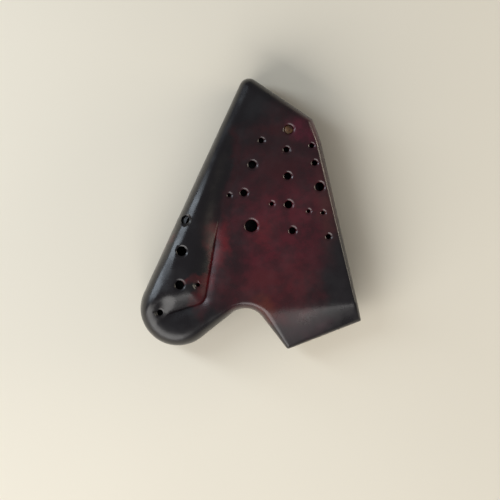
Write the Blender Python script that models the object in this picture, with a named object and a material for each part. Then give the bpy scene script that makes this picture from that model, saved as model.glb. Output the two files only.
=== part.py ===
# Triple ocarina: two lacquered shells joined round three chambers, with a wall between each two
# chambers and a block under each of the three windways.
# Units are metres. It lies on its flat back with the finger holes up (+Z). The raised tube runs down
# the left edge (-X), and the mouthpiece is at the lower right (+X, -Y).

import math

import bmesh
import bpy
import numpy as np
from mathutils import Matrix, Vector
from mathutils.geometry import delaunay_2d_cdt

# Corners of the outline in plan, anticlockwise, before they are rounded
APEX = (-0.0041, 0.0977)
LOBE_END = (-0.1205, -0.1553)
ARCH_TOP = (-0.0013, -0.0600)
LIP_LEFT = (0.0257, -0.0949)
LIP_RIGHT = (0.0772, -0.0749)
FLANK_BEND = (0.0487, 0.0509)
SHOULDER = (0.0431, 0.0656)

# Radius of each corner in plan
APEX_RADIUS = 0.0070
LOBE_RADIUS = 0.0261
ARCH_RADIUS = 0.0149
LIP_LEFT_RADIUS = 0.0020
LIP_RIGHT_RADIUS = 0.0014
FLANK_BEND_RADIUS = 0.042
SHOULDER_RADIUS = 0.0035

# How far in from the outline the surface rounds over, at each corner
APEX_ROUNDING = 0.0090
LOBE_ROUNDING = 0.0130
ARCH_ROUNDING = 0.0060
LIP_ROUNDING = 0.0026
FLANK_ROUNDING = 0.0065
SHOULDER_ROUNDING = 0.0070
ROUNDING_POWER = 2.6
LEAST_ROUNDING = 0.0015

# Heights above and depths below the parting plane
PLATE_HEIGHT = 0.0175
APEX_DROP = 0.0035
APEX_DROP_START_Y = 0.0200
LIP_HEIGHT = 0.0070
BACK_DEPTH = 0.0210
LIP_DEPTH = 0.0070

# The crease across the front where the mouthpiece starts to slope down to its lip
CREASE_LEFT = (0.0050, -0.0660)
CREASE_RIGHT = (0.0720, -0.0630)
CREASE_SOFTNESS = 0.0030
BEAK_BLEND = 0.0120

# The tube along the left edge, and the valley between it and the plate
VALLEY_HEAD = (0.0020, 0.1050)
VALLEY_NECK = (-0.0065, 0.0580)
VALLEY_BEND = (-0.0210, 0.0000)
PAD_HEEL = (-0.0315, -0.0620)
PAD_TOE = (-0.0560, -0.0695)
PAD_TAIL = (-0.0900, -0.1000)
VALLEY_BEND_RADIUS = 0.120
PAD_HEEL_RADIUS = 0.0080
PAD_TOE_RADIUS = 0.0200
TUBE_RISE = 0.0062
TUBE_REACH = 0.0150
TUBE_FADE_TOP_Y = 0.0850
TUBE_FADE_LENGTH = 0.0800
VALLEY_DIP = 0.0016
VALLEY_DIP_REACH = 0.0040
PAD_STEP = 0.0010
PAD_STEP_WIDTH = 0.0010
CRISP_TOP_Y = 0.0050
CRISP_LENGTH = 0.0300
CRISP_LEFT_X = -0.0620
CRISP_LEFT_LENGTH = 0.0100

# Walls and fits
WALL = 0.0045
CLEARANCE = 0.0003
CHAMBER_WALL = 0.0025

# Mouthpiece: three windways that fan out from the lip
WINDWAY_PITCH = 0.0162
WINDWAY_FAN = math.radians(8.2)
WINDWAY_WIDTH = 0.0104
WINDWAY_HEIGHT = 0.0014
WINDWAY_ROOF = 0.0033
BLOCK_WIDTH = 0.0130
BLOCK_HEIGHT = 0.0055
BLOCK_LENGTH = 0.0380
BLOCK_STANDS_IN = 0.0015
POCKET_OVERRUN = 0.0008
CUT_UP = 0.0055
LABIUM_EDGE = 0.0005
LABIUM_RAMP = 0.0110

# Upper points of the two chamber walls in plan: foot and waist, then the end past the top edge
WALL_1_2 = ((0.0090, -0.0184), (0.0134, 0.0586), (0.0160, 0.1000))
WALL_2_3 = ((0.0350, -0.0100), (0.0340, 0.0500), (0.0370, 0.1000))
WALL_START = -0.0080
WALL_LEAVES_WINDWAY = 0.0170

# Finger holes: x, y and bore
LOBE_HOLES = (
    (-0.0454, -0.0046, 0.0062),
    (-0.0474, -0.0263, 0.0066),
    (-0.0487, -0.0494, 0.0062),
    (-0.0361, -0.0494, 0.0028),
    (-0.0624, -0.0687, 0.0040),
)
LARGE_CHAMBER_HOLES = (
    (0.0072, 0.0501, 0.0038),
    (0.0010, 0.0334, 0.0056),
    (-0.0048, 0.0139, 0.0050),
    (-0.0148, 0.0123, 0.0026),
    (0.0003, -0.0088, 0.0088),
)
MIDDLE_CHAMBER_HOLES = (
    (0.0245, 0.0438, 0.0040),
    (0.0254, 0.0255, 0.0052),
    (0.0260, 0.0059, 0.0056),
    (0.0145, 0.0064, 0.0030),
    (0.0287, -0.0121, 0.0050),
)
SMALL_CHAMBER_HOLES = (
    (0.0420, 0.0466, 0.0036),
    (0.0440, 0.0346, 0.0040),
    (0.0475, 0.0182, 0.0064),
    (0.0398, 0.0013, 0.0026),
    (0.0498, 0.0003, 0.0028),
    (0.0535, -0.0162, 0.0036),
)
RIM_CHAMFER = 0.0010
HOLE_LEAN = 0.25

# Thumb holes in the back: x, y and bore
THUMB_HOLES = (
    (-0.0340, -0.0240, 0.0078),
    (-0.0040, 0.0220, 0.0072),
    (0.0220, 0.0180, 0.0060),
    (0.0440, 0.0080, 0.0052),
)

# Tuning plug: its place in the front of the middle chamber, and its shape
PLUG_PLACE = (0.0262, 0.0578)
PLUG_BORE = 0.0068
PLUG_DOME = 0.0004

# Fineness of the surfaces
EDGE_SPACING = 0.0055
ARC_STEP = math.radians(15)
RING_INSETS = (0.0005, 0.0016, 0.0036, 0.0068, 0.0115)
LATTICE_SPACING = 0.0085
VALLEY_FROM_RIM = 0.0020
RING_KEPT = 0.95
BORE_STEPS = 18
CUTTER_OVERRUN = 0.0015
SAME_POINT = 1e-7
ON_RIM = 1e-6
NORMAL_STEP = 0.0005
SHARP_ANGLE = math.radians(35)


def rounded_path(corners, closed, spacing=EDGE_SPACING):
    """Rows of x, y and rounding along straight runs and arcs, from corners of x, y, radius and rounding."""
    count = len(corners)
    arcs = []
    for index, (x, y, radius, rounding) in enumerate(corners):
        here = Vector((x, y))
        if not closed and index in (0, count - 1):
            arcs.append([(x, y, rounding)])
            continue
        before = (here - Vector(corners[index - 1][:2])).normalized()
        after = (Vector(corners[(index + 1) % count][:2]) - here).normalized()
        turn = math.atan2(before.cross(after), before.dot(after))
        reach = radius * math.tan(abs(turn) / 2)
        side = Vector((-before.y, before.x)) * math.copysign(radius, turn)
        start = here - before * reach
        steps = max(2, math.ceil(abs(turn) / ARC_STEP))
        arc = []
        for step in range(steps + 1):
            spoke = -side
            spoke.rotate(Matrix.Rotation(turn * step / steps, 2))
            point = start + side + spoke
            arc.append((point.x, point.y, rounding))
        arcs.append(arc)
    rows = []
    for index, arc in enumerate(arcs):
        rows.extend(arc)
        if not closed and index == count - 1:
            break
        start = np.array(arc[-1])
        end = np.array(arcs[(index + 1) % count][0])
        parts = max(1, round(float(np.hypot(*(end - start)[:2])) / spacing))
        rows.extend(tuple(start + (end - start) * part / parts) for part in range(1, parts))
    return np.array(rows)


def outline_corners(inset=0.0):
    """The outline's corners with every side moved in by the inset, as rows of x, y, radius and rounding."""
    corners = (
        (APEX, APEX_RADIUS, APEX_ROUNDING),
        (LOBE_END, LOBE_RADIUS, LOBE_ROUNDING),
        (ARCH_TOP, ARCH_RADIUS, ARCH_ROUNDING),
        (LIP_LEFT, LIP_LEFT_RADIUS, LIP_ROUNDING),
        (LIP_RIGHT, LIP_RIGHT_RADIUS, LIP_ROUNDING),
        (FLANK_BEND, FLANK_BEND_RADIUS, FLANK_ROUNDING),
        (SHOULDER, SHOULDER_RADIUS, SHOULDER_ROUNDING),
    )
    rows = []
    for index, (place, radius, rounding) in enumerate(corners):
        here = Vector(place)
        before = (here - Vector(corners[index - 1][0])).normalized()
        after = (Vector(corners[(index + 1) % len(corners)][0]) - here).normalized()
        half_turn = math.atan2(before.cross(after), before.dot(after)) / 2
        inward = Vector((-before.y - after.y, before.x + after.x)).normalized()
        moved = here + inward * inset / math.cos(half_turn)
        kept = radius + inset if half_turn < 0 else max(radius - inset, LEAST_ROUNDING / 4)
        rows.append((moved.x, moved.y, kept, rounding))
    return rows


def nearest_on_path(points, path, closed):
    """For each point, its distance to the path and on which side it lies: positive on the left."""
    ends = np.roll(path, -1, axis=0) if closed else path[1:]
    starts = path if closed else path[:-1]
    runs = (ends - starts)[:, :2]
    offsets = points[:, None, :] - starts[None, :, :2]
    share = np.clip((offsets * runs).sum(axis=2) / (runs * runs).sum(axis=1), 0, 1)
    gaps = offsets - share[:, :, None] * runs
    distance = np.hypot(gaps[:, :, 0], gaps[:, :, 1])
    nearest = distance.argmin(axis=1)
    picked = np.arange(len(points))
    run, offset = runs[nearest], offsets[picked, nearest]
    side = np.sign(run[:, 0] * offset[:, 1] - run[:, 1] * offset[:, 0])
    return distance[picked, nearest], side


def smooth(value):
    """0 up to 1, with no corner at either end."""
    held = np.clip(value, 0.0, 1.0)
    return held * held * (3 - 2 * held)


LIP_MIDDLE = (Vector(LIP_LEFT) + Vector(LIP_RIGHT)) / 2
ALONG_LIP = (Vector(LIP_RIGHT) - Vector(LIP_LEFT)).normalized()
FROM_LIP = Vector((-ALONG_LIP.y, ALONG_LIP.x))
ARCH_ALONG_LIP = (Vector(ARCH_TOP) - LIP_MIDDLE).dot(ALONG_LIP)
BEAK_LENGTH = (Vector(ARCH_TOP) - LIP_MIDDLE).dot(FROM_LIP)
BEAK_SLOPE = math.atan2(BACK_DEPTH - LIP_DEPTH, BEAK_LENGTH)
PARTING_HEIGHT = BACK_DEPTH
ABOVE_ALL = PARTING_HEIGHT + PLATE_HEIGHT + TUBE_RISE + 2 * WALL


def lip_coordinates(points):
    """How far each point lies along the lip from its middle, and how far in from it."""
    offset = points - np.array(LIP_MIDDLE)
    return offset @ np.array(ALONG_LIP), offset @ np.array(FROM_LIP)


def beak_share(points):
    """1 over the mouthpiece, 0 over the lobe and the body beside the arch."""
    along, _ = lip_coordinates(points)
    return smooth((along - ARCH_ALONG_LIP) / BEAK_BLEND + 0.5)


def valley_path():
    return rounded_path(
        (
            (*VALLEY_HEAD, 0.0, 0.0),
            (*VALLEY_NECK, VALLEY_BEND_RADIUS, 0.0),
            (*VALLEY_BEND, VALLEY_BEND_RADIUS, 0.0),
            (*PAD_HEEL, PAD_HEEL_RADIUS, 0.0),
            (*PAD_TOE, PAD_TOE_RADIUS, 0.0),
            (*PAD_TAIL, 0.0, 0.0),
        ),
        closed=False,
    )


def front_level(points):
    """Height of the front above the parting plane, before the edges round over."""
    x, y = points[:, 0], points[:, 1]
    apex_share = smooth((y - APEX_DROP_START_Y) / (APEX[1] - APEX_DROP_START_Y))
    level = PLATE_HEIGHT - APEX_DROP * apex_share
    distance, side = nearest_on_path(points, valley_path(), closed=False)
    on_tube = np.where(side < 0, distance, 0.0)
    crisp = smooth((CRISP_TOP_Y - y) / CRISP_LENGTH) * smooth((x - CRISP_LEFT_X) / CRISP_LEFT_LENGTH)
    share = np.clip(on_tube / TUBE_REACH, 0.0, 1.0)
    soft_rise = smooth(share)
    crisp_rise = np.sin(share * math.pi / 2)
    fade = smooth((TUBE_FADE_TOP_Y - y) / TUBE_FADE_LENGTH)
    level = level + TUBE_RISE * fade * (soft_rise + (crisp_rise - soft_rise) * crisp)
    level = level + PAD_STEP * crisp * np.clip(on_tube / PAD_STEP_WIDTH, 0.0, 1.0)
    level = level - VALLEY_DIP * crisp * np.exp(-distance / VALLEY_DIP_REACH)
    crease = Vector(CREASE_RIGHT) - Vector(CREASE_LEFT)
    below_crease = (points - np.array(CREASE_LEFT)) @ np.array((crease.y, -crease.x)) / crease.length
    below_crease = (below_crease + np.hypot(below_crease, CREASE_SOFTNESS)) / 2
    _, from_lip = lip_coordinates(points)
    from_lip = np.maximum(from_lip, LEAST_ROUNDING)
    slope_share = below_crease / (from_lip + below_crease) * beak_share(points)
    return level + (LIP_HEIGHT - level) * slope_share


def back_level(points):
    """Depth of the back below the parting plane, before the edges round over."""
    _, from_lip = lip_coordinates(points)
    slope_share = (1 - np.clip(from_lip / BEAK_LENGTH, 0.0, 1.0)) * beak_share(points)
    return BACK_DEPTH + (LIP_DEPTH - BACK_DEPTH) * slope_share


def edge_factor(points, rim, inset):
    """How much of the full height each point has: 0 on the rim, 1 where the edge has rounded over."""
    distance, _ = nearest_on_path(points, rim, closed=True)
    gaps = np.hypot(points[:, None, 0] - rim[None, :, 0], points[:, None, 1] - rim[None, :, 1])
    weights = 1 / (gaps**2 + EDGE_SPACING**2) ** 2
    rounding = (weights * rim[None, :, 2]).sum(axis=1) / weights.sum(axis=1)
    rounding = np.maximum(rounding - inset, LEAST_ROUNDING)
    short = 1 - np.clip(distance / rounding, 0.0, 1.0)
    return (1 - short**ROUNDING_POWER) ** (1 / ROUNDING_POWER)


def plan_net(rim, inset):
    """Points in plan and the lines that join them: the rim, rings that follow it, both sides of the valley
    and a lattice between."""
    valley = valley_path()[:, :2]
    run = np.gradient(valley, axis=0)
    towards_tube = np.stack((run[:, 1], -run[:, 0]), axis=1) / np.hypot(run[:, 0], run[:, 1])[:, None]
    rows = []
    for ring in RING_INSETS:
        path = rounded_path(outline_corners(inset + ring), closed=True)
        rows.append((path[:, :2], RING_KEPT * ring))
    rows.append((valley, VALLEY_FROM_RIM))
    rows.append((valley + towards_tube * PAD_STEP_WIDTH, VALLEY_FROM_RIM))
    points = [rim[:, :2]]
    lines = [(index, (index + 1) % len(rim)) for index in range(len(rim))]
    placed = len(rim)
    for row, least in rows:
        distance, side = nearest_on_path(row, rim, closed=True)
        kept = np.flatnonzero((side > 0) & (distance > least))
        ringed = [*kept, kept[0] + len(row)]
        for index, (here, after) in enumerate(zip(ringed, ringed[1:])):
            if after - here == 1:
                lines.append((placed + index, placed + (index + 1) % len(kept)))
        points.append(row[kept])
        placed += len(kept)
    low, high = rim[:, :2].min(axis=0), rim[:, :2].max(axis=0)
    row_height = LATTICE_SPACING * math.sqrt(3) / 2
    lattice = np.array(
        [
            (low[0] + LATTICE_SPACING * (column + row % 2 / 2), low[1] + row * row_height)
            for row in range(math.ceil((high[1] - low[1]) / row_height))
            for column in range(math.ceil((high[0] - low[0]) / LATTICE_SPACING))
        ]
    )
    distance, side = nearest_on_path(lattice, rim, closed=True)
    from_valley, _ = nearest_on_path(lattice, valley, closed=False)
    roomy = (distance > RING_INSETS[-1] + LATTICE_SPACING / 4) & (from_valley > LATTICE_SPACING / 3)
    points.append(lattice[(side > 0) & roomy])
    return np.concatenate(points), lines


def body_mesh(name, inset=0.0, half=None, drawn_in=0.0):
    """The body's form at an inset: whole, or only the half that stops short of the parting plane.

    The facets may be drawn in a little further, so that what they trim clears what the form itself cut.
    """
    rim = rounded_path(outline_corners(inset), closed=True)
    net, lines = plan_net(rim, inset)
    flat, _, faces, *_ = delaunay_2d_cdt([Vector(point) for point in net], lines, [], 1, SAME_POINT)
    points = np.array([tuple(point) for point in flat])
    on_rim = nearest_on_path(points, rim, closed=True)[0] < ON_RIM
    factor = np.where(on_rim, 0.0, edge_factor(points, rim, inset))
    surfaces = []
    if half != "back":
        surfaces.append((1, (front_level(points) - inset) * factor))
    if half != "front":
        surfaces.append((-1, (back_level(points) - inset) * factor))
    seam_gap = CLEARANCE / 2 if half else 0.0
    bm = bmesh.new()
    rim_verts = {}
    for side, reach in surfaces:
        verts = []
        for index, (x, y) in enumerate(points):
            height = PARTING_HEIGHT + side * max(reach[index], seam_gap)
            vert = rim_verts.get(index) or bm.verts.new((x, y, height))
            if on_rim[index]:
                rim_verts[index] = vert
            verts.append(vert)
        for face in faces:
            bm.faces.new([verts[index] for index in face[::side]])
    if half:
        bmesh.ops.holes_fill(bm, edges=[edge for edge in bm.edges if edge.is_boundary], sides=0)
        bmesh.ops.recalc_face_normals(bm, faces=bm.faces)
    bm.normal_update()
    for vert in bm.verts:
        vert.co -= vert.normal * drawn_in
    return mesh_from(name, bm)


def mesh_from(name, bm):
    mesh = bpy.data.meshes.new(name)
    bm.normal_update()
    bm.to_mesh(mesh)
    bm.free()
    return mesh


def prism(bm, corners, along):
    """A flat polygon pushed along a vector."""
    face = bm.faces.new([bm.verts.new(corner) for corner in corners])
    pushed = bmesh.ops.extrude_face_region(bm, geom=[face], use_keep_orig=True)["geom"]
    moved = [item for item in pushed if isinstance(item, bmesh.types.BMVert)]
    bmesh.ops.translate(bm, vec=along, verts=moved)
    bmesh.ops.recalc_face_normals(bm, faces=bm.faces)


def box(bm, low, high, frame):
    low, high = Vector(low), Vector(high)
    size = Matrix.Diagonal((*(high - low), 1.0))
    bmesh.ops.create_cube(bm, size=1.0, matrix=frame @ Matrix.Translation((low + high) / 2) @ size)


def turned(bm, profile, frame):
    """A profile of (radius, height) turned round the frame's Z axis, added to the bmesh."""
    lathe = bmesh.new()
    verts = [lathe.verts.new((radius, 0.0, height)) for radius, height in profile]
    edges = [lathe.edges.new(pair) for pair in zip(verts, verts[1:])]
    bmesh.ops.spin(
        lathe,
        geom=verts + edges,
        cent=(0.0, 0.0, 0.0),
        axis=(0.0, 0.0, 1.0),
        angle=2 * math.pi,
        steps=BORE_STEPS,
        use_merge=True,
    )
    bmesh.ops.remove_doubles(lathe, verts=lathe.verts, dist=SAME_POINT)
    bmesh.ops.transform(lathe, matrix=frame, verts=lathe.verts)
    bmesh.ops.recalc_face_normals(lathe, faces=lathe.faces)
    mesh = mesh_from("turned", lathe)
    bm.from_mesh(mesh)
    bpy.data.meshes.remove(mesh)


def surface_frame(x, y, lean):
    """A frame on the front surface, with Z leaning from upright towards the surface's normal."""
    near = np.array([(x, y), (x, y), (x, y), (x, y), (x, y)])
    near[1:3, 0] += (-NORMAL_STEP, NORMAL_STEP)
    near[3:5, 1] += (-NORMAL_STEP, NORMAL_STEP)
    rim = rounded_path(outline_corners(), closed=True)
    here, left, right, below, above = PARTING_HEIGHT + front_level(near) * edge_factor(near, rim, 0.0)
    normal = Vector((left - right, below - above, 2 * NORMAL_STEP)).normalized()
    upward = Vector((0.0, 0.0, 1.0)).lerp(normal, lean)
    return Matrix.Translation((x, y, here)) @ upward.to_track_quat("Z", "Y").to_matrix().to_4x4()


def windway_frame(index):
    """A frame on the roof of a windway: X across it, Y from the lip to its window, Z towards the front."""
    start = LIP_MIDDLE + ALONG_LIP * index * WINDWAY_PITCH
    turn = math.atan2(ALONG_LIP.y, ALONG_LIP.x) - index * WINDWAY_FAN
    place = Matrix.Translation((start.x, start.y, PARTING_HEIGHT - LIP_DEPTH + WINDWAY_ROOF))
    return place @ Matrix.Rotation(turn, 4, "Z") @ Matrix.Rotation(-BEAK_SLOPE, 4, "X")


def windway_point(index, from_lip):
    return (windway_frame(index) @ Vector((0.0, from_lip, 0.0))).xy


# Root, collections and materials

for existing in list(bpy.data.objects):
    bpy.data.objects.remove(existing, do_unlink=True)

ocarina = bpy.data.collections.new("triple_ocarina")
cutters = bpy.data.collections.new("cutters")
bpy.context.scene.collection.children.link(ocarina)
bpy.context.scene.collection.children.link(cutters)

plan = rounded_path(outline_corners(), closed=True)[:, :2]
plan_centre = (plan.min(axis=0) + plan.max(axis=0)) / 2
root = bpy.data.objects.new("ocarina_root", None)
root.location = (-plan_centre[0], -plan_centre[1], 0.0)
ocarina.objects.link(root)


def finish(name, colour, roughness):
    material = bpy.data.materials.new(name)
    material.use_nodes = True
    shader = material.node_tree.nodes["Principled BSDF"]
    shader.inputs["Base Color"].default_value = (*colour, 1.0)
    shader.inputs["Roughness"].default_value = roughness
    shader.inputs["Metallic"].default_value = 0.0
    return material


def add(name, mesh, material=None):
    """A named part of the ocarina, or a cutter where it has no material."""
    piece = bpy.data.objects.new(name, mesh)
    piece.parent = root
    if material is None:
        cutters.objects.link(piece)
        piece.hide_render = True
        piece.display_type = "WIRE"
    else:
        ocarina.objects.link(piece)
        mesh.materials.append(material)
        mesh.shade_smooth()
        mesh.set_sharp_from_angle(angle=SHARP_ANGLE)
    return piece


def cut(piece, cutter, operation="DIFFERENCE"):
    modifier = piece.modifiers.new(f"{operation.lower()} {cutter.name}", "BOOLEAN")
    modifier.operation = operation
    modifier.object = cutter
    modifier.solver = "EXACT"


def triangulate(piece):
    """Even triangles on the flat faces that the cuts leave, in place of thin ones."""
    modifier = piece.modifiers.new("triangulate", "TRIANGULATE")
    modifier.quad_method = "BEAUTY"
    modifier.ngon_method = "BEAUTY"


# Cutters: the hollow inside, and the solid mouthpiece that it stops at


def mouthpiece_mask(name, grown):
    """All of the mouthpiece from the lip to the chambers' floor."""
    turn = math.atan2(ALONG_LIP.y, ALONG_LIP.x)
    frame = Matrix.Translation((*LIP_MIDDLE, 0.0)) @ Matrix.Rotation(turn, 4, "Z")
    bm = bmesh.new()
    box(
        bm,
        (ARCH_ALONG_LIP, -BEAK_LENGTH, -BACK_DEPTH),
        (-ARCH_ALONG_LIP, BLOCK_LENGTH - BLOCK_STANDS_IN + grown, ABOVE_ALL),
        frame,
    )
    return add(name, mesh_from(name, bm))


hollow = add("hollow", body_mesh("hollow", WALL))
cut(hollow, mouthpiece_mask("mouthpiece_mask", 0.0))
wall_trim = add("wall_trim", body_mesh("wall_trim", WALL, drawn_in=CLEARANCE))
cut(wall_trim, mouthpiece_mask("wall_foot_mask", CLEARANCE))

bm = bmesh.new()
for index in (-1, 0, 1):
    box(
        bm,
        (-BLOCK_WIDTH / 2 - CLEARANCE, -BLOCK_LENGTH / 2, 0.0),
        (BLOCK_WIDTH / 2 + CLEARANCE, BLOCK_LENGTH + POCKET_OVERRUN, BLOCK_HEIGHT + 2 * CLEARANCE),
        windway_frame(index),
    )
block_pockets = add("block_pockets", mesh_from("block_pockets", bm))

# Each sound window opens at the end of its windway, and its far edge is bevelled from outside

window_floor = WALL / math.cos(BEAK_SLOPE) - WINDWAY_ROOF
labium = window_floor - LABIUM_EDGE
outside = -WINDWAY_ROOF - WALL
ramp_fall = (labium + WINDWAY_ROOF) / LABIUM_RAMP
ramp_end = BLOCK_LENGTH + CUT_UP + (labium - outside) / ramp_fall
window_profile = (
    (BLOCK_LENGTH, window_floor + CUTTER_OVERRUN),
    (BLOCK_LENGTH + CUT_UP, window_floor + CUTTER_OVERRUN),
    (BLOCK_LENGTH + CUT_UP, labium),
    (ramp_end, outside),
    (BLOCK_LENGTH, outside),
)
bm = bmesh.new()
for index in (-1, 0, 1):
    frame = windway_frame(index)
    corners = [frame @ Vector((-WINDWAY_WIDTH / 2, y, z)) for y, z in window_profile]
    prism(bm, corners, frame.to_3x3() @ Vector((WINDWAY_WIDTH, 0.0, 0.0)))
sound_windows = add("sound_windows", mesh_from("sound_windows", bm))


def bore_profile(bore):
    """A bore through the wall with its outer rim chamfered."""
    radius = bore / 2
    return (
        (0.0, -WALL - CUTTER_OVERRUN),
        (radius, -WALL - CUTTER_OVERRUN),
        (radius, -RIM_CHAMFER),
        (radius + RIM_CHAMFER + CUTTER_OVERRUN, CUTTER_OVERRUN),
        (0.0, CUTTER_OVERRUN),
    )


bm = bmesh.new()
for x, y, bore in LOBE_HOLES + LARGE_CHAMBER_HOLES + MIDDLE_CHAMBER_HOLES + SMALL_CHAMBER_HOLES:
    turned(bm, bore_profile(bore), surface_frame(x, y, HOLE_LEAN))
turned(bm, bore_profile(PLUG_BORE), surface_frame(*PLUG_PLACE, 1.0))
finger_bores = add("finger_bores", mesh_from("finger_bores", bm))

bm = bmesh.new()
for x, y, bore in THUMB_HOLES:
    turned(bm, bore_profile(bore), Matrix.Translation((x, y, 0.0)) @ Matrix.Rotation(math.pi, 4, "X"))
thumb_bores = add("thumb_bores", mesh_from("thumb_bores", bm))

# Front shell: the finger-hole half

lacquer_front = finish("lacquer_front", (0.045, 0.012, 0.016), 0.18)
front_shell = add("front_shell", body_mesh("front_shell", half="front"), lacquer_front)
for cutter in (hollow, block_pockets, finger_bores):
    cut(front_shell, cutter)
triangulate(front_shell)

# Back shell: the flat half that it rests on, with thumb holes and sound windows

lacquer_back = finish("lacquer_back", (0.026, 0.010, 0.012), 0.18)
back_shell = add("back_shell", body_mesh("back_shell", half="back"), lacquer_back)
for cutter in (hollow, block_pockets, sound_windows, thumb_bores):
    cut(back_shell, cutter)
triangulate(back_shell)

# Chamber walls: upright strips between the windways and past the top edge, trimmed by the hollow


def strip_mesh(name, path):
    """An upright strip of the chamber wall's thickness along a path in plan."""
    points = [Vector(point) for point in path]
    left, right = [], []
    for index, point in enumerate(points):
        before = (point - points[max(index - 1, 0)]).normalized()
        after = (points[min(index + 1, len(points) - 1)] - point).normalized()
        run = (before + after).normalized()
        half_turn = before.angle(after) / 2 if before.length and after.length else 0.0
        across = Vector((-run.y, run.x)) * (CHAMBER_WALL / 2 / math.cos(half_turn))
        left.append(point + across)
        right.append(point - across)
    bm = bmesh.new()
    corners = [(corner.x, corner.y, -WALL) for corner in right + left[::-1]]
    prism(bm, corners, (0.0, 0.0, WALL + ABOVE_ALL))
    return mesh_from(name, bm)


wall_finish = finish("bare_body", (0.30, 0.17, 0.10), 0.60)
for name, index, upper_points in (
    ("chamber_wall_1_2", -1, WALL_1_2),
    ("chamber_wall_2_3", 0, WALL_2_3),
):
    lower_points = [
        windway_point(index, from_lip).lerp(windway_point(index + 1, from_lip), 0.5)
        for from_lip in (BLOCK_LENGTH + WALL_START, BLOCK_LENGTH + WALL_LEAVES_WINDWAY)
    ]
    wall = add(name, strip_mesh(name, [*lower_points, *upper_points]), wall_finish)
    cut(wall, wall_trim, "INTERSECT")
    triangulate(wall)

# Windway blocks: each fills its pocket but for a channel along the side that faces the back

block_finish = finish("block_wood", (0.42, 0.26, 0.14), 0.45)
half_block, half_channel = BLOCK_WIDTH / 2, WINDWAY_WIDTH / 2
block_section = (
    (-half_block, CLEARANCE),
    (-half_channel, CLEARANCE),
    (-half_channel, CLEARANCE + WINDWAY_HEIGHT),
    (half_channel, CLEARANCE + WINDWAY_HEIGHT),
    (half_channel, CLEARANCE),
    (half_block, CLEARANCE),
    (half_block, CLEARANCE + BLOCK_HEIGHT),
    (-half_block, CLEARANCE + BLOCK_HEIGHT),
)
for index in (-1, 0, 1):
    frame = windway_frame(index)
    corners = [frame @ Vector((x, BLOCK_LENGTH, z)) for x, z in block_section]
    bm = bmesh.new()
    prism(bm, corners, frame.to_3x3() @ Vector((0.0, -BLOCK_LENGTH - 2 * BLOCK_WIDTH, 0.0)))
    bmesh.ops.bisect_plane(
        bm,
        geom=bm.verts[:] + bm.edges[:] + bm.faces[:],
        plane_co=(*LIP_MIDDLE, 0.0),
        plane_no=(*-FROM_LIP, 0.0),
        clear_outer=True,
    )
    bmesh.ops.holes_fill(bm, edges=[edge for edge in bm.edges if edge.is_boundary], sides=0)
    bmesh.ops.recalc_face_normals(bm, faces=bm.faces)
    name = f"windway_block_{index + 2}"
    add(name, mesh_from(name, bm), block_finish)

# Tuning plug: a turned amber plug with a low dome, in its bore

plug_finish = finish("amber_plug", (0.20, 0.075, 0.015), 0.25)
plug_radius = PLUG_BORE / 2 - CLEARANCE
dome = [(plug_radius * share, -RIM_CHAMFER + PLUG_DOME * (1 - share**2)) for share in (1.0, 0.5, 0.0)]
bm = bmesh.new()
turned(bm, [(0.0, -WALL), (plug_radius, -WALL), *dome], surface_frame(*PLUG_PLACE, 1.0))
add("tuning_plug", mesh_from("tuning_plug", bm), plug_finish)
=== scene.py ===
import math

import bmesh
import bpy
import numpy as np
from mathutils import Matrix, Vector
from mathutils.geometry import delaunay_2d_cdt


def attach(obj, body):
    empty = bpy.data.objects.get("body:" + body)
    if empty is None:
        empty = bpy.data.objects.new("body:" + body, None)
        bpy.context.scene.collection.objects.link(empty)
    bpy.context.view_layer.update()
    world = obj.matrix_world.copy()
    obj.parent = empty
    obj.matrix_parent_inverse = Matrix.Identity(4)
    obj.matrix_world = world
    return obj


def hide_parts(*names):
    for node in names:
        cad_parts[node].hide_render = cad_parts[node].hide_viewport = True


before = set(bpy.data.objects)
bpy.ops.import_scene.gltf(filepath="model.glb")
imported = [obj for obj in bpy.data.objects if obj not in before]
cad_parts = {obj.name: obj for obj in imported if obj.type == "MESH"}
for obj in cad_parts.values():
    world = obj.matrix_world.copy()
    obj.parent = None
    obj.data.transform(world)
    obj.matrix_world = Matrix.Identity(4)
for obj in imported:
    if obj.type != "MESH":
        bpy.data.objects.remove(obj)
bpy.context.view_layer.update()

# The ocarina lies on its flat back on a plain pale surface. The view is straight down on the finger
# holes, as the photograph shows them, with cool window light from the left, soft light from the room
# on the lobe's side, and warm light on the flank.

FLOOR_SIZE = 6.0
FLOOR_COLOUR = (0.74, 0.685, 0.575)
FLOOR_PALER = 1.03
FLOOR_SPECKLE_SCALE = 3.0
FLOOR_ROUGHNESS = 0.85
CAMERA_PLACE = (-0.0006, -0.0254, 1.0904)
CAMERA_LENS = 110.0
CAMERA_SENSOR = 36.0
WORLD_COLOUR = (0.93, 0.95, 1.0)
WORLD_STRENGTH = 0.24
# Lamps: place, height and width, power and colour
LAMPS = (
    ("window", (-0.760, 0.293, 0.60), (1.10, 0.20), 5.2, (0.80, 0.90, 1.0)),
    ("room", (-0.60, -1.05, 0.75), (1.20, 1.80), 26.0, (1.0, 0.98, 0.95)),
    ("flank", (0.85, 0.19, 0.20), (0.10, 0.60), 3.0, (1.0, 0.90, 0.72)),
)
LAMP_TARGET = Vector((0.0, 0.0, 0.03))
# The parts of a noise's range over which a pattern goes from one colour to the other
WIDE_SPAN = (0.30, 0.70)
NARROW_SPAN = (0.35, 0.65)


def new_object(name, data):
    """An object, placed in the scene."""
    made = bpy.data.objects.new(name, data)
    bpy.context.scene.collection.objects.link(made)
    return made


def node(tree, kind, **settings):
    """A node with its attributes set."""
    made = tree.nodes.new(kind)
    for setting, value in settings.items():
        setattr(made, setting, value)
    return made


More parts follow.
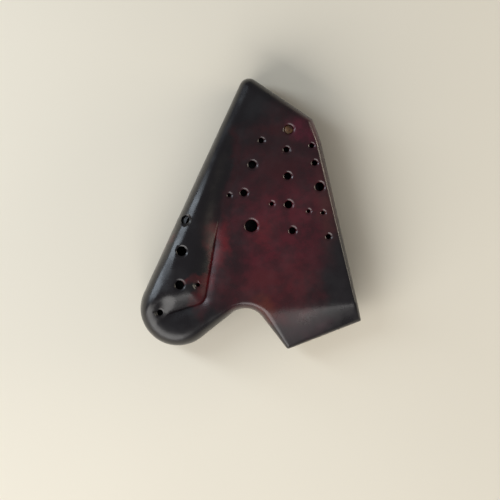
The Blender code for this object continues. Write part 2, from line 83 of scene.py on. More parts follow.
def new_material(name):
    """A material, its tree, its shader and the object's own coordinates."""
    material = bpy.data.materials.new(name)
    material.use_nodes = True
    tree = material.node_tree
    place = node(tree, "ShaderNodeTexCoord").outputs["Object"]
    return material, tree, tree.nodes["Principled BSDF"], place


def noise(tree, place, scale, detail=4.0, roughness=0.55):
    """Fractal noise, in turns per metre."""
    made = node(tree, "ShaderNodeTexNoise")
    made.inputs["Scale"].default_value = scale
    made.inputs["Detail"].default_value = detail
    made.inputs["Roughness"].default_value = roughness
    tree.links.new(place, made.inputs["Vector"])
    return made


def ranged(tree, value, span, new_span):
    """A value carried from one span to another, with soft ends."""
    made = node(tree, "ShaderNodeMapRange", interpolation_type="SMOOTHSTEP")
    for socket, number in zip(("From Min", "From Max", "To Min", "To Max"), (*span, *new_span)):
        made.inputs[socket].default_value = number
    tree.links.new(value, made.inputs["Value"])
    return made.outputs["Result"]


def blended(tree, factor, first, second):
    """One colour over another: each is a socket or three numbers."""
    made = node(tree, "ShaderNodeMix", data_type="RGBA")
    tree.links.new(factor, made.inputs[0])
    for socket, colour in ((made.inputs[6], first), (made.inputs[7], second)):
        if isinstance(colour, tuple):
            socket.default_value = (*colour, 1.0)
        else:
            tree.links.new(colour, socket)
    return made.outputs[2]


def tinted(tree, shader, pattern, span, first, second):
    """Gives the shader two colours, which pass into each other as the pattern crosses the span."""
    share = ranged(tree, pattern, span, (0.0, 1.0))
    tree.links.new(blended(tree, share, first, second), shader.inputs["Base Color"])


def bumped(tree, shader, height, strength, distance):
    """Gives the shader a fine relief."""
    made = node(tree, "ShaderNodeBump")
    made.inputs["Strength"].default_value = strength
    made.inputs["Distance"].default_value = distance
    tree.links.new(height, made.inputs["Height"])
    tree.links.new(made.outputs["Normal"], shader.inputs["Normal"])


def floor_material():
    """Pale, matt and nearly even."""
    material, tree, shader, place = new_material("floor")
    speckle = noise(tree, place, FLOOR_SPECKLE_SCALE, detail=2.0).outputs["Fac"]
    paler = tuple(channel * FLOOR_PALER for channel in FLOOR_COLOUR)
    tinted(tree, shader, speckle, WIDE_SPAN, FLOOR_COLOUR, paler)
    shader.inputs["Roughness"].default_value = FLOOR_ROUGHNESS
    return material


floor_net = bmesh.new()
bmesh.ops.create_grid(floor_net, x_segments=1, y_segments=1, size=FLOOR_SIZE / 2)
floor_mesh = bpy.data.meshes.new("floor")
floor_net.to_mesh(floor_mesh)
floor_net.free()
floor = new_object("floor", floor_mesh)
floor_mesh.materials.append(floor_material())

camera_data = bpy.data.cameras.new("camera")
camera_data.lens = CAMERA_LENS
camera_data.sensor_width = CAMERA_SENSOR
camera = new_object("camera", camera_data)
camera.location = CAMERA_PLACE
bpy.context.scene.camera = camera
bpy.context.scene.view_settings.view_transform = "Standard"

world = bpy.data.worlds.new("room")
world.use_nodes = True
background = world.node_tree.nodes["Background"]
background.inputs["Color"].default_value = (*WORLD_COLOUR, 1.0)
background.inputs["Strength"].default_value = WORLD_STRENGTH
bpy.context.scene.world = world

for name, place, (height, width), power, colour in LAMPS:
    lamp_data = bpy.data.lights.new(name, "AREA")
    lamp_data.shape = "RECTANGLE"
    lamp_data.size = width
    lamp_data.size_y = height
    lamp_data.energy = power
    lamp_data.color = colour
    lamp = new_object(name, lamp_data)
    lamp.location = place
    lamp.rotation_euler = (LAMP_TARGET - Vector(place)).to_track_quat("-Z", "Y").to_euler()

# The front shell is a thin fired body under many coats of polished lacquer: near black at the ends,
# clouded with dark red in the middle. Its tube, valley and pad are modelled before firing, and the
# finger holes are bored and chamfered after it. It is joined to the back shell at the parting line.

# Corners of the outline in plan, their radii, and how far in from them the edge rounds over
CORNERS = (
    ((-0.0041, 0.0977), 0.0070, 0.0090),
    ((-0.1205, -0.1553), 0.0261, 0.0130),
    ((-0.0013, -0.0600), 0.0149, 0.0060),
    ((0.0257, -0.0949), 0.0020, 0.0026),
    ((0.0772, -0.0749), 0.0014, 0.0026),
    ((0.0487, 0.0509), 0.042, 0.0065),
    ((0.0431, 0.0656), 0.0035, 0.0070),
)
APEX, _, ARCH_TOP, LIP_LEFT, LIP_RIGHT = (Vector(corner[0]) for corner in CORNERS[:5])
# The edge's section, how softly its width passes from corner to corner, and the least it may be
ROUNDING_POWER = 2.6
ROUNDING_BLEND = 0.0055
LEAST_ROUNDING = 0.0015
LEAST_RADIUS = 0.000375
WALL = 0.0045
SEAM_GAP = 0.00015

# The parting line's height over the bed, and what rises over or falls below the parting line
PARTING_HEIGHT = 0.0210
PLATE_HEIGHT = 0.0175
APEX_DROP = 0.0035
APEX_DROP_START_Y = 0.0200
LIP_HEIGHT = 0.0070
LIP_DEPTH = 0.0070
CREASE_LEFT = Vector((0.0050, -0.0660))
CREASE_RIGHT = Vector((0.0720, -0.0630))
CREASE_SOFTNESS = 0.0030
BEAK_BLEND = 0.0120

# Corners of the valley between the tube and the plate, with their radii, from the apex to the lobe
VALLEY = (
    ((0.0020, 0.1050), 0.0),
    ((-0.0065, 0.0580), 0.120),
    ((-0.0210, 0.0000), 0.120),
    ((-0.0315, -0.0620), 0.0080),
    ((-0.0560, -0.0695), 0.0200),
    ((-0.0900, -0.1000), 0.0),
)
# The tube rises from the valley and fades towards the apex. By the lobe the rise is crisp, with a step
# along the pad's edge and a dip in the valley.
TUBE_RISE = 0.0062
TUBE_REACH = 0.0150
TUBE_FADE_TOP_Y = 0.0850
TUBE_FADE_LENGTH = 0.0800
VALLEY_DIP = 0.0016
VALLEY_DIP_REACH = 0.0040
PAD_STEP = 0.0010
PAD_STEP_WIDTH = 0.0010
CRISP_TOP_Y = 0.0050
CRISP_LENGTH = 0.0300
CRISP_LEFT_X = -0.0620
CRISP_LEFT_LENGTH = 0.0100

# Fineness of the surface: points round the rim, rings inside it, rows beside the valley, and a lattice
RIM_SPACING = 0.0014
ARC_STEP = math.radians(5)
RINGS = (
    0.0002, 0.0005, 0.0009, 0.0014, 0.0020, 0.0028, 0.0037,
    0.0048, 0.0060, 0.0074, 0.0090, 0.0108, 0.0128,
)
VALLEY_ROWS = (-0.0014, -0.0005, 0.0, 0.00033, 0.00067, 0.0010, 0.0016, 0.0026)
LATTICE = 0.0020
LATTICE_ROOM = LATTICE / 4
RING_KEPT = 0.95
NET_MERGE = 1e-7
ON_RIM = 1e-6

# Finger holes and the plug's hole: x, y and bore
FINGER_HOLES = (
    (-0.0454, -0.0046, 0.0062), (-0.0474, -0.0263, 0.0066), (-0.0487, -0.0494, 0.0062),
    (-0.0361, -0.0494, 0.0028), (-0.0624, -0.0687, 0.0040), (0.0072, 0.0501, 0.0038),
    (0.0010, 0.0334, 0.0056), (-0.0048, 0.0139, 0.0050), (-0.0148, 0.0123, 0.0026),
    (0.0003, -0.0088, 0.0088), (0.0245, 0.0438, 0.0040), (0.0254, 0.0255, 0.0052),
    (0.0260, 0.0059, 0.0056), (0.0145, 0.0064, 0.0030), (0.0287, -0.0121, 0.0050),
    (0.0420, 0.0466, 0.0036), (0.0440, 0.0346, 0.0040), (0.0475, 0.0182, 0.0064),
    (0.0398, 0.0013, 0.0026), (0.0498, 0.0003, 0.0028), (0.0535, -0.0162, 0.0036),
)
HOLE_LEAN = 0.25
RIM_CHAMFER = 0.0010
# The chamfer's section: how far out from the bore and how far up, in chamfers
RIM_PROFILE = ((-0.15, -0.98), (0.15, -0.60), (0.95, -0.12), (1.60, 0.06))
RIM_REACH = 2.20
PLUG_PLACE = (0.0262, 0.0578)
PLUG_BORE = 0.0068
BORE_STEPS = 48
OVERRUN = 0.0015
NORMAL_STEP = 0.0005
TURNED_MERGE = 1e-7
SHARP_ANGLE = math.radians(60)

# Mouthpiece: the pockets of the three windway blocks, and the solid part round them
WINDWAY_PITCH = 0.0162
WINDWAY_FAN = math.radians(8.2)
WINDWAY_ROOF = 0.0033
POCKET_WIDTH = 0.0136
POCKET_HEIGHT = 0.0061
POCKET_LENGTH = 0.0388
BEAK_SOLID = 0.0365
BEAK_SOLID_BOTTOM = -0.0200
BEAK_SOLID_TOP = 0.0600

LIP_MIDDLE = (LIP_LEFT + LIP_RIGHT) / 2
ALONG_LIP = (LIP_RIGHT - LIP_LEFT).normalized()
FROM_LIP = Vector((-ALONG_LIP.y, ALONG_LIP.x))
LIP_TURN = math.atan2(ALONG_LIP.y, ALONG_LIP.x)
ARCH_ALONG_LIP = (ARCH_TOP - LIP_MIDDLE).dot(ALONG_LIP)
BEAK_LENGTH = (ARCH_TOP - LIP_MIDDLE).dot(FROM_LIP)
BEAK_SLOPE = math.atan2(PARTING_HEIGHT - LIP_DEPTH, BEAK_LENGTH)


def rounded_path(corners, closed):
    """Rows of x, y and rounding along straight runs and arcs, from corners of x, y, radius and rounding."""
    count = len(corners)
    arcs = []
    for index, (x, y, radius, rounding) in enumerate(corners):
        here = Vector((x, y))
        if not closed and index in (0, count - 1):
            arcs.append([(x, y, rounding)])
            continue
        before = (here - Vector(corners[index - 1][:2])).normalized()
        after = (Vector(corners[(index + 1) % count][:2]) - here).normalized()
        turn = math.atan2(before.cross(after), before.dot(after))
        side = Vector((-before.y, before.x)) * math.copysign(radius, turn)
        start = here - before * radius * math.tan(abs(turn) / 2)
        steps = max(3, math.ceil(abs(turn) / ARC_STEP))
        arc = []
        for step in range(steps + 1):
            spoke = -side
            spoke.rotate(Matrix.Rotation(turn * step / steps, 2))
            point = start + side + spoke
            arc.append((point.x, point.y, rounding))
        arcs.append(arc)
    rows = []
    for index, arc in enumerate(arcs):
        rows.extend(arc)
        if not closed and index == count - 1:
            break
        start, end = np.array(arc[-1]), np.array(arcs[(index + 1) % count][0])
        parts = max(1, round(float(np.hypot(*(end - start)[:2])) / RIM_SPACING))
        rows.extend(tuple(start + (end - start) * part / parts) for part in range(1, parts))
    return np.array(rows)


def outline_corners(inset=0.0):
    """The outline's corners with every side moved in by the inset."""
    rows = []
    for index, (place, radius, rounding) in enumerate(CORNERS):
        here = Vector(place)
        before = (here - Vector(CORNERS[index - 1][0])).normalized()
        after = (Vector(CORNERS[(index + 1) % len(CORNERS)][0]) - here).normalized()
        half_turn = math.atan2(before.cross(after), before.dot(after)) / 2
        inward = Vector((-before.y - after.y, before.x + after.x)).normalized()
        moved = here + inward * inset / math.cos(half_turn)
        kept = radius + inset if half_turn < 0 else max(radius - inset, LEAST_RADIUS)
        rows.append((moved.x, moved.y, kept, rounding))
    return rows


def nearest_on_path(points, path, closed):
    """For each point, its distance to the path and on which side it lies: positive on the left."""
    ends = np.roll(path, -1, axis=0) if closed else path[1:]
    starts = path if closed else path[:-1]
    runs = (ends - starts)[:, :2]
    offsets = points[:, None, :] - starts[None, :, :2]
    share = np.clip((offsets * runs).sum(axis=2) / (runs * runs).sum(axis=1), 0, 1)
    gaps = offsets - share[:, :, None] * runs
    distance = np.hypot(gaps[:, :, 0], gaps[:, :, 1])
    nearest = distance.argmin(axis=1)
    picked = np.arange(len(points))
    run, offset = runs[nearest], offsets[picked, nearest]
    side = np.sign(run[:, 0] * offset[:, 1] - run[:, 1] * offset[:, 0])
    return distance[picked, nearest], side


def smooth(value):
    """0 up to 1, with no corner at either end."""
    held = np.clip(value, 0.0, 1.0)
    return held * held * (3 - 2 * held)


def lip_coordinates(points):
    """How far each point lies along the lip from its middle, and how far in from it."""
    offset = points - np.array(LIP_MIDDLE)
    return offset @ np.array(ALONG_LIP), offset @ np.array(FROM_LIP)


def beak_share(points):
    """1 over the mouthpiece, 0 over the lobe and the body beside the arch."""
    along, _ = lip_coordinates(points)
    return smooth((along - ARCH_ALONG_LIP) / BEAK_BLEND + 0.5)


def valley_path():
    """The bottom of the valley, with its corners rounded."""
    return rounded_path([(*place, radius, 0.0) for place, radius in VALLEY], closed=False)


def front_level(points):
    """Height of the front above the parting plane, before the edges round over."""
    x, y = points[:, 0], points[:, 1]
    level = PLATE_HEIGHT - APEX_DROP * smooth((y - APEX_DROP_START_Y) / (APEX.y - APEX_DROP_START_Y))
    distance, side = nearest_on_path(points, valley_path(), closed=False)
    on_tube = np.where(side < 0, distance, 0.0)
    crisp = smooth((CRISP_TOP_Y - y) / CRISP_LENGTH) * smooth((x - CRISP_LEFT_X) / CRISP_LEFT_LENGTH)
    share = np.clip(on_tube / TUBE_REACH, 0.0, 1.0)
    soft_rise = smooth(share)
    crisp_rise = np.sin(share * math.pi / 2)
    fade = smooth((TUBE_FADE_TOP_Y - y) / TUBE_FADE_LENGTH)
    level = level + TUBE_RISE * fade * (soft_rise + (crisp_rise - soft_rise) * crisp)
    level = level + PAD_STEP * crisp * smooth(on_tube / PAD_STEP_WIDTH)
    level = level - VALLEY_DIP * crisp * np.exp(-distance / VALLEY_DIP_REACH)
    crease = CREASE_RIGHT - CREASE_LEFT
    below_crease = (points - np.array(CREASE_LEFT)) @ np.array((crease.y, -crease.x)) / crease.length
    below_crease = (below_crease + np.hypot(below_crease, CREASE_SOFTNESS)) / 2
    _, from_lip = lip_coordinates(points)
    from_lip = np.maximum(from_lip, LEAST_ROUNDING)
    slope_share = below_crease / (from_lip + below_crease) * beak_share(points)
    return level + (LIP_HEIGHT - level) * slope_share


def back_level(points):
    """Depth of the back below the parting plane, before the edges round over."""
    _, from_lip = lip_coordinates(points)
    slope_share = (1 - np.clip(from_lip / BEAK_LENGTH, 0.0, 1.0)) * beak_share(points)
    return PARTING_HEIGHT + (LIP_DEPTH - PARTING_HEIGHT) * slope_share


def edge_factor(points, rim, inset):
    """How much of the full height each point has: 0 on the rim, 1 where the edge has rounded over."""
    distance, _ = nearest_on_path(points, rim, closed=True)
    gaps = np.hypot(points[:, None, 0] - rim[None, :, 0], points[:, None, 1] - rim[None, :, 1])
    weights = 1 / (gaps**2 + ROUNDING_BLEND**2) ** 2
    rounding = (weights * rim[None, :, 2]).sum(axis=1) / weights.sum(axis=1)
    rounding = np.maximum(rounding - inset, LEAST_ROUNDING)
    short = 1 - np.clip(distance / rounding, 0.0, 1.0)
    return (1 - short**ROUNDING_POWER) ** (1 / ROUNDING_POWER)


def plan_net(rim, inset):
    """Points in plan and the lines that join them: the rim, its rings, rows beside the valley, a lattice."""
    valley = valley_path()[:, :2]
    run = np.gradient(valley, axis=0)
    towards_tube = np.stack((run[:, 1], -run[:, 0]), axis=1) / np.hypot(run[:, 0], run[:, 1])[:, None]
    rows = []
    for ring in RINGS:
        path = rounded_path(outline_corners(inset + ring), closed=True)
        rows.append((path[:, :2], RING_KEPT * ring))
    for offset in VALLEY_ROWS:
        rows.append((valley + towards_tube * offset, PAD_STEP_WIDTH))
    points = [rim[:, :2]]
    lines = [(index, (index + 1) % len(rim)) for index in range(len(rim))]
    placed = len(rim)
    for row, least in rows:
        distance, side = nearest_on_path(row, rim, closed=True)
        kept = np.flatnonzero((side > 0) & (distance > least))
        ringed = [*kept, kept[0] + len(row)]
        for index, (here, after) in enumerate(zip(ringed, ringed[1:])):
            if after - here == 1:
                lines.append((placed + index, placed + (index + 1) % len(kept)))
        points.append(row[kept])
        placed += len(kept)
    low, high = rim[:, :2].min(axis=0), rim[:, :2].max(axis=0)
    row_height = LATTICE * math.sqrt(3) / 2
    lattice = np.array(
        [
            (low[0] + LATTICE * (column + row % 2 / 2), low[1] + row * row_height)
            for row in range(math.ceil((high[1] - low[1]) / row_height))
            for column in range(math.ceil((high[0] - low[0]) / LATTICE))
        ]
    )
    distance, side = nearest_on_path(lattice, rim, closed=True)
    from_valley, _ = nearest_on_path(lattice, valley, closed=False)
    roomy = (distance > RINGS[-1] + LATTICE_ROOM) & (from_valley > VALLEY_ROWS[-1] + LATTICE_ROOM)
    points.append(lattice[(side > 0) & roomy])
    return np.concatenate(points), lines


def form_mesh(name, inset, sides):
    """The body's form at an inset: both sides, or the front alone with a flat face at the parting line."""
    rim = rounded_path(outline_corners(inset), closed=True)
    net, lines = plan_net(rim, inset)
    flat, _, faces, *_ = delaunay_2d_cdt([Vector(point) for point in net], lines, [], 1, NET_MERGE)
    points = np.array([tuple(point) for point in flat])
    on_rim = nearest_on_path(points, rim, closed=True)[0] < ON_RIM
    factor = np.where(on_rim, 0.0, edge_factor(points, rim, inset))
    reaches = {1: (front_level(points) - inset) * factor, -1: (back_level(points) - inset) * factor}
    least = SEAM_GAP if len(sides) == 1 else 0.0
    form = bmesh.new()
    rim_verts = {}
    for side in sides:
        verts = []
        for index, (x, y) in enumerate(points):
            height = PARTING_HEIGHT + side * max(reaches[side][index], least)
            vert = rim_verts.get(index) or form.verts.new((x, y, height))
            if on_rim[index]:
                rim_verts[index] = vert
            verts.append(vert)
        for face in faces:
            form.faces.new([verts[index] for index in face[::side]])
    if len(sides) == 1:
        bmesh.ops.holes_fill(form, edges=[edge for edge in form.edges if edge.is_boundary], sides=0)
        bmesh.ops.recalc_face_normals(form, faces=form.faces)
    return centred(name, form)


outline = rounded_path(outline_corners(), closed=True)[:, :2]
plan_centre = (outline.min(axis=0) + outline.max(axis=0)) / 2


def centred(name, net):
    """The finished mesh, moved from the drawing's origin to the middle of the outline."""
    bmesh.ops.translate(net, vec=(-plan_centre[0], -plan_centre[1], 0.0), verts=net.verts)
    net.normal_update()
    mesh = bpy.data.meshes.new(name)
    net.to_mesh(mesh)
    net.free()
    return mesh


def surface_frame(x, y, lean):
    """A frame on the front surface, with Z leaning from upright towards the surface's normal."""
    near = np.array([(x, y)] * 5)
    near[1:3, 0] += (-NORMAL_STEP, NORMAL_STEP)
    near[3:5, 1] += (-NORMAL_STEP, NORMAL_STEP)
    rim = rounded_path(outline_corners(), closed=True)
    here, left, right, below, above = PARTING_HEIGHT + front_level(near) * edge_factor(near, rim, 0.0)
    normal = Vector((left - right, below - above, 2 * NORMAL_STEP)).normalized()
    upward = Vector((0.0, 0.0, 1.0)).lerp(normal, lean)
    return Matrix.Translation((x, y, here)) @ upward.to_track_quat("Z", "Y").to_matrix().to_4x4()


def windway_frame(index):
    """A frame on the roof of a windway: X across it, Y from the lip inwards, Z towards the front."""
    start = LIP_MIDDLE + ALONG_LIP * index * WINDWAY_PITCH
    turn = LIP_TURN - index * WINDWAY_FAN
    place = Matrix.Translation((start.x, start.y, PARTING_HEIGHT - LIP_DEPTH + WINDWAY_ROOF))
    return place @ Matrix.Rotation(turn, 4, "Z") @ Matrix.Rotation(-BEAK_SLOPE, 4, "X")


def box(net, low, high, place):
    """A block between two corners, in the frame's own directions."""
    low, high = Vector(low), Vector(high)
    size = Matrix.Diagonal((*(high - low), 1.0))
    bmesh.ops.create_cube(net, size=1.0, matrix=place @ Matrix.Translation((low + high) / 2) @ size)


def turned(net, profile, place, materials):
    """A profile of (radius, height) spun round the frame's Z axis: one finish above the chamfer's foot,
    another below it."""
    lathe = bmesh.new()
    verts = [lathe.verts.new((radius, 0.0, height)) for radius, height in profile]
    edges = [lathe.edges.new(pair) for pair in zip(verts, verts[1:])]
    bmesh.ops.spin(
        lathe,
        geom=verts + edges,
        cent=(0.0, 0.0, 0.0),
        axis=(0.0, 0.0, 1.0),
        angle=2 * math.pi,
        steps=BORE_STEPS,
        use_merge=True,
    )
    bmesh.ops.remove_doubles(lathe, verts=lathe.verts, dist=TURNED_MERGE)
    for face in lathe.faces:
        height = face.calc_center_median().z
        face.material_index = materials[0] if height > -RIM_CHAMFER else materials[1]
    bmesh.ops.transform(lathe, matrix=place, verts=lathe.verts)
    bmesh.ops.recalc_face_normals(lathe, faces=lathe.faces)
    mesh = bpy.data.meshes.new("turned")
    lathe.to_mesh(mesh)
    lathe.free()
    net.from_mesh(mesh)
    bpy.data.meshes.remove(mesh)


def cut_mesh(mesh, cutters):
    """The mesh with each cutter taken out of it, smooth but for its sharp edges and where finishes meet."""
    work = new_object("work", mesh)
    for cutter in cutters:
        modifier = work.modifiers.new("cut", "BOOLEAN")
        modifier.object = cutter
        modifier.solver = "EXACT"
    bpy.context.view_layer.update()
    made = bpy.data.meshes.new_from_object(work.evaluated_get(bpy.context.evaluated_depsgraph_get()))
    bpy.data.objects.remove(work)
    made.shade_smooth()
    made.set_sharp_from_angle(angle=SHARP_ANGLE)
    edged = bmesh.new()
    edged.from_mesh(made)
    for edge in edged.edges:
        if len({face.material_index for face in edge.link_faces}) > 1:
            edge.smooth = False
    edged.to_mesh(made)
    edged.free()
    return made


LACQUER_BLACK = (0.0050, 0.0035, 0.0045)
LACQUER_ROUGHNESS = (0.24, 0.38)
POLISH_SCALE = 60.0
POLISH_SPAN = (0.35, 0.70)
RIPPLE_SCALE = 240.0
RIPPLE_STRENGTH = 0.10
RIPPLE_DEPTH = 0.0004
# Clouds in the lacquer: place, half length and half width, turn in degrees, colour and strength
CLOUDS = (
    ((0.018, -0.012), (0.074, 0.046), 75, (0.060, 0.0060, 0.0110), 1.00),
    ((0.014, -0.054), (0.044, 0.028), 10, (0.060, 0.0070, 0.0100), 0.95),
    ((0.020, 0.047), (0.040, 0.026), 70, (0.026, 0.0040, 0.0055), 0.80),
    ((-0.026, -0.034), (0.040, 0.007), 78, (0.120, 0.0070, 0.0110), 0.65),
    ((-0.012, 0.030), (0.045, 0.005), 74, (0.022, 0.0020, 0.0035), 0.80),
    ((0.038, 0.058), (0.016, 0.009), -50, (0.085, 0.0070, 0.0200), 0.60),
    ((-0.060, -0.024), (0.018, 0.005), 66, (0.120, 0.0110, 0.0200), 0.75),
    ((-0.037, -0.044), (0.012, 0.004), 10, (0.120, 0.0100, 0.0120), 0.50),
    ((0.008, -0.010), (0.018, 0.012), 20, (0.095, 0.0080, 0.0110), 0.50),
    ((0.010, -0.068), (0.012, 0.007), -35, (0.100, 0.0260, 0.0100), 0.35),
    ((0.050, 0.004), (0.036, 0.010), 104, (0.050, 0.0150, 0.0130), 0.60),
    ((0.062, -0.050), (0.030, 0.009), 105, (0.009, 0.0060, 0.0075), 0.85),
    ((0.040, -0.082), (0.024, 0.012), 20, (0.030, 0.0075, 0.0130), 0.70),
)
CLOUD_DEPTH = 0.024
CLOUD_FADE = (0.25, 1.15)
DRIFT_SCALE = 28.0
DRIFT_REACH = 0.040
MOTTLE_SCALE = 75.0
MOTTLE_SPAN = (0.36, 0.66)
MOTTLE_STRENGTH = (0.45, 1.15)


def lacquer(name, clouds, level):
    """Polished lacquer: black, with clouds of red whose edges wander, fine mottling and a soft polish."""
    material, tree, shader, place = new_material(name)
    drift = noise(tree, place, DRIFT_SCALE, detail=5.0, roughness=0.6)
    centred_drift = node(tree, "ShaderNodeVectorMath", operation="SUBTRACT")
    centred_drift.inputs[1].default_value = (0.5, 0.5, 0.5)
    tree.links.new(drift.outputs["Color"], centred_drift.inputs[0])
    wandering = node(tree, "ShaderNodeVectorMath", operation="MULTIPLY_ADD")
    wandering.inputs[1].default_value = (DRIFT_REACH, DRIFT_REACH, DRIFT_REACH)
    tree.links.new(centred_drift.outputs[0], wandering.inputs[0])
    tree.links.new(place, wandering.inputs[2])
    mottle = noise(tree, place, MOTTLE_SCALE, detail=7.0, roughness=0.65).outputs["Fac"]
    mottle = ranged(tree, mottle, MOTTLE_SPAN, MOTTLE_STRENGTH)
    colour = LACQUER_BLACK
    for (x, y), (half_length, half_width), turn, tint, strength in clouds:
        spot = node(tree, "ShaderNodeMapping", vector_type="TEXTURE")
        spot.inputs["Location"].default_value = (x, y, level)
        spot.inputs["Rotation"].default_value = (0.0, 0.0, math.radians(turn))
        spot.inputs["Scale"].default_value = (half_length, half_width, CLOUD_DEPTH)
        tree.links.new(wandering.outputs[0], spot.inputs["Vector"])
        away = node(tree, "ShaderNodeVectorMath", operation="LENGTH")
        tree.links.new(spot.outputs[0], away.inputs[0])
        share = ranged(tree, away.outputs["Value"], CLOUD_FADE, (strength, 0.0))
        mottled = node(tree, "ShaderNodeMath", operation="MULTIPLY", use_clamp=True)
        tree.links.new(share, mottled.inputs[0])
        tree.links.new(mottle, mottled.inputs[1])
        colour = blended(tree, mottled.outputs[0], colour, tint)
    tree.links.new(colour, shader.inputs["Base Color"])
    polish = noise(tree, place, POLISH_SCALE, detail=6.0, roughness=0.6).outputs["Fac"]
    tree.links.new(ranged(tree, polish, POLISH_SPAN, LACQUER_ROUGHNESS), shader.inputs["Roughness"])
    ripple = noise(tree, place, RIPPLE_SCALE, detail=5.0, roughness=0.6).outputs["Fac"]
    bumped(tree, shader, ripple, RIPPLE_STRENGTH, RIPPLE_DEPTH)
    return material


# The chamfers' colours below are painted sheen: a greyish brown, mottled at random, that stands in for the
# light the chamfers catch.
RIM_SHEEN_DARK = (0.110, 0.062, 0.056)
RIM_SHEEN_PALE = (0.220, 0.150, 0.135)
RIM_SHEEN_MOTTLE_SCALE = 420.0
RIM_ROUGHNESS = 0.34


def painted_sheen_rim():
    """The chamfer round each hole, coloured a dull greyish brown: a painted sheen that stands in for the
    light the chamfer catches.
    """
    material, tree, shader, place = new_material("painted_sheen_rim")
    sheen_mottle = noise(tree, place, RIM_SHEEN_MOTTLE_SCALE).outputs["Fac"]
    tinted(tree, shader, sheen_mottle, NARROW_SPAN, RIM_SHEEN_DARK, RIM_SHEEN_PALE)
    shader.inputs["Roughness"].default_value = RIM_ROUGHNESS
    return material


BODY_DARK = (0.11, 0.040, 0.026)
BODY_PALE = (0.19, 0.085, 0.055)
BODY_ROUGHNESS = 0.75
GRIT_SCALE = 700.0
GRIT_STRENGTH = 0.25
GRIT_DEPTH = 0.0003


def bare_body(name):
    """The fired body inside: matt, reddish, with fine grit."""
    material, tree, shader, place = new_material(name)
    grit = noise(tree, place, GRIT_SCALE, detail=6.0, roughness=0.7).outputs["Fac"]
    tinted(tree, shader, grit, WIDE_SPAN, BODY_DARK, BODY_PALE)
    shader.inputs["Roughness"].default_value = BODY_ROUGHNESS
    bumped(tree, shader, grit, GRIT_STRENGTH, GRIT_DEPTH)
    return material


body_finish = bare_body("bare_body_inside")
front_lacquer = lacquer("lacquer_front_clouded", CLOUDS, PARTING_HEIGHT + PLATE_HEIGHT)
front_finishes = (front_lacquer, painted_sheen_rim(), body_finish)

front_form = form_mesh("front_form", 0.0, (1,))
hollow_form = form_mesh("hollow_form", WALL, (1, -1))
mask_net = bmesh.new()
lip_frame = Matrix.Translation((*LIP_MIDDLE, 0.0)) @ Matrix.Rotation(LIP_TURN, 4, "Z")
low = (ARCH_ALONG_LIP, -BEAK_LENGTH, BEAK_SOLID_BOTTOM)
box(mask_net, low, (-ARCH_ALONG_LIP, BEAK_SOLID, BEAK_SOLID_TOP), lip_frame)
mask = new_object("mask", centred("mask", mask_net))
hollow = new_object("hollow", cut_mesh(hollow_form, [mask]))

pocket_net = bmesh.new()
for index in (-1, 0, 1):
    low = (-POCKET_WIDTH / 2, -POCKET_LENGTH / 2, 0.0)
    box(pocket_net, low, (POCKET_WIDTH / 2, POCKET_LENGTH, POCKET_HEIGHT), windway_frame(index))
pockets = new_object("pockets", centred("pockets", pocket_net))

bore_net = bmesh.new()
bores = [(surface_frame(x, y, HOLE_LEAN), bore) for x, y, bore in FINGER_HOLES]
bores.append((surface_frame(*PLUG_PLACE, 1.0), PLUG_BORE))
for place, bore in bores:
    radius = bore / 2
    chamfer = [(radius + RIM_CHAMFER * out, RIM_CHAMFER * up) for out, up in RIM_PROFILE]
    below = [(0.0, -WALL - OVERRUN), (chamfer[0][0], -WALL - OVERRUN)]
    above = [(radius + RIM_CHAMFER * RIM_REACH, OVERRUN), (0.0, OVERRUN)]
    turned(bore_net, [*below, *chamfer, *above], place, (1, 2))
bore_mesh = centred("bores", bore_net)
for mesh in (front_form, hollow.data, pockets.data, bore_mesh):
    mesh.materials.clear()
    for finish in front_finishes:
        mesh.materials.append(finish)
for mesh in (hollow.data, pockets.data):
    for polygon in mesh.polygons:
        polygon.material_index = 2
finger_bores = new_object("finger_bores", bore_mesh)

front_shell = new_object("lacquered_front", cut_mesh(front_form, [hollow, pockets, finger_bores]))
for cutter in (mask, hollow, pockets, finger_bores):
    bpy.data.objects.remove(cutter)
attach(front_shell, "root")
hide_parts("front_shell")

# The back shell is the flat half that the ocarina rests on, of the same body and lacquer, with the
# thumb holes and the three sound windows cut in it. Its lacquer is darker and hardly clouded.

BACK_CLOUDS = (
    ((0.005, -0.005), (0.080, 0.045), 70, (0.030, 0.0060, 0.0080), 0.75),
    ((-0.045, -0.050), (0.030, 0.016), 60, (0.040, 0.0070, 0.0080), 0.60),
    ((0.025, 0.040), (0.030, 0.014), 100, (0.036, 0.0070, 0.0120), 0.60),
)
BACK_SHARP_ANGLE = math.radians(35)
BACK_MERGE = 1e-6
back_net = bmesh.new()
back_net.from_mesh(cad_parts["back_shell"].data)
bmesh.ops.remove_doubles(back_net, verts=back_net.verts, dist=BACK_MERGE)
back_mesh = bpy.data.meshes.new("lacquered_back")
back_net.to_mesh(back_mesh)
back_net.free()
back_mesh.materials.clear()
back_mesh.materials.append(lacquer("lacquer_back_clouded", BACK_CLOUDS, 0.0))
back_mesh.shade_smooth()
back_mesh.set_sharp_from_angle(angle=BACK_SHARP_ANGLE)
back_shell = new_object("lacquered_back", back_mesh)
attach(back_shell, "root")
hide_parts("back_shell")

# The two chamber walls are strips of the same fired body, luted between the shells. The three
# windway blocks are slips of straight-grained wood, pushed into their pockets in the mouthpiece.

BLOCK_PALE = (0.42, 0.25, 0.13)
BLOCK_DARK = (0.25, 0.13, 0.06)
BLOCK_ROUGHNESS = 0.5
GRAIN_SCALE = 900.0
GRAIN_ALONG = 0.06
GRAIN_STRENGTH = 0.2
GRAIN_DEPTH = 0.0002


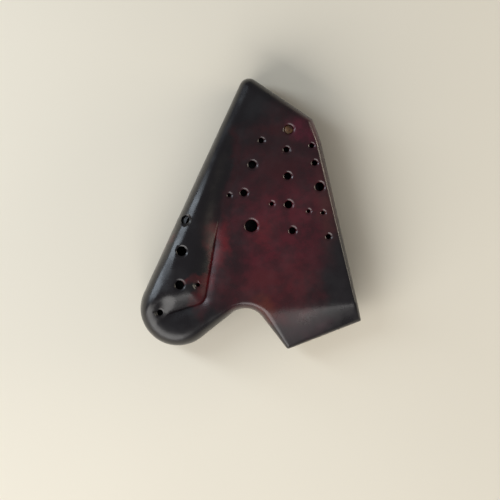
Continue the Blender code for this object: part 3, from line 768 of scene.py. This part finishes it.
def block_wood():
    """Straight grain along the windways."""
    material, tree, shader, place = new_material("block_wood_grain")
    along = node(tree, "ShaderNodeMapping")
    along.inputs["Rotation"].default_value = (0.0, 0.0, -LIP_TURN)
    along.inputs["Scale"].default_value = (1.0, GRAIN_ALONG, 1.0)
    tree.links.new(place, along.inputs["Vector"])
    grain = noise(tree, along.outputs[0], GRAIN_SCALE, detail=5.0, roughness=0.6).outputs["Fac"]
    tinted(tree, shader, grain, NARROW_SPAN, BLOCK_DARK, BLOCK_PALE)
    shader.inputs["Roughness"].default_value = BLOCK_ROUGHNESS
    bumped(tree, shader, grain, GRAIN_STRENGTH, GRAIN_DEPTH)
    return material


wood = block_wood()
for name, finish in (
    ("chamber_wall_1_2", body_finish),
    ("chamber_wall_2_3", body_finish),
    ("windway_block_1", wood),
    ("windway_block_2", wood),
    ("windway_block_3", wood),
):
    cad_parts[name].data.materials.clear()
    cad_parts[name].data.materials.append(finish)

# The tuning plug is a turned amber-coloured button, pressed into a bore above the middle column of
# finger holes. Its top is a low polished dome with a rounded edge, just below the lacquer.

PLUG_RADIUS = 0.0031
PLUG_DOME = 0.0004
PLUG_EDGE = 0.0003
DOME_SHARES = (1.0, 0.8, 0.6, 0.4, 0.2, 0.0)
AMBER_DARK = (0.030, 0.010, 0.005)
AMBER_PALE = (0.130, 0.060, 0.016)
AMBER_ROUGHNESS = 0.38
AMBER_CLOUD_SCALE = 320.0
AMBER_RIPPLE_STRENGTH = 0.15
AMBER_RIPPLE_DEPTH = 0.0002


def amber():
    """Polished resin, cloudy inside."""
    material, tree, shader, place = new_material("amber_resin")
    cloud = noise(tree, place, AMBER_CLOUD_SCALE, detail=5.0, roughness=0.6).outputs["Fac"]
    tinted(tree, shader, cloud, NARROW_SPAN, AMBER_DARK, AMBER_PALE)
    shader.inputs["Roughness"].default_value = AMBER_ROUGHNESS
    bumped(tree, shader, cloud, AMBER_RIPPLE_STRENGTH, AMBER_RIPPLE_DEPTH)
    return material


plug_net = bmesh.new()
plug_top = -RIM_CHAMFER - PLUG_DOME
dome = [
    ((PLUG_RADIUS - PLUG_EDGE) * share, plug_top + PLUG_DOME * (1 - share**2))
    for share in DOME_SHARES
]
plug_side = [(0.0, -WALL), (PLUG_RADIUS, -WALL), (PLUG_RADIUS, plug_top - PLUG_EDGE)]
turned(plug_net, [*plug_side, *dome], surface_frame(*PLUG_PLACE, 1.0), (0, 0))
plug_mesh = centred("amber_button", plug_net)
plug_mesh.materials.append(amber())
plug_mesh.shade_smooth()
plug_mesh.set_sharp_from_angle(angle=SHARP_ANGLE)
plug = new_object("amber_button", plug_mesh)
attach(plug, "root")
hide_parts("tuning_plug")
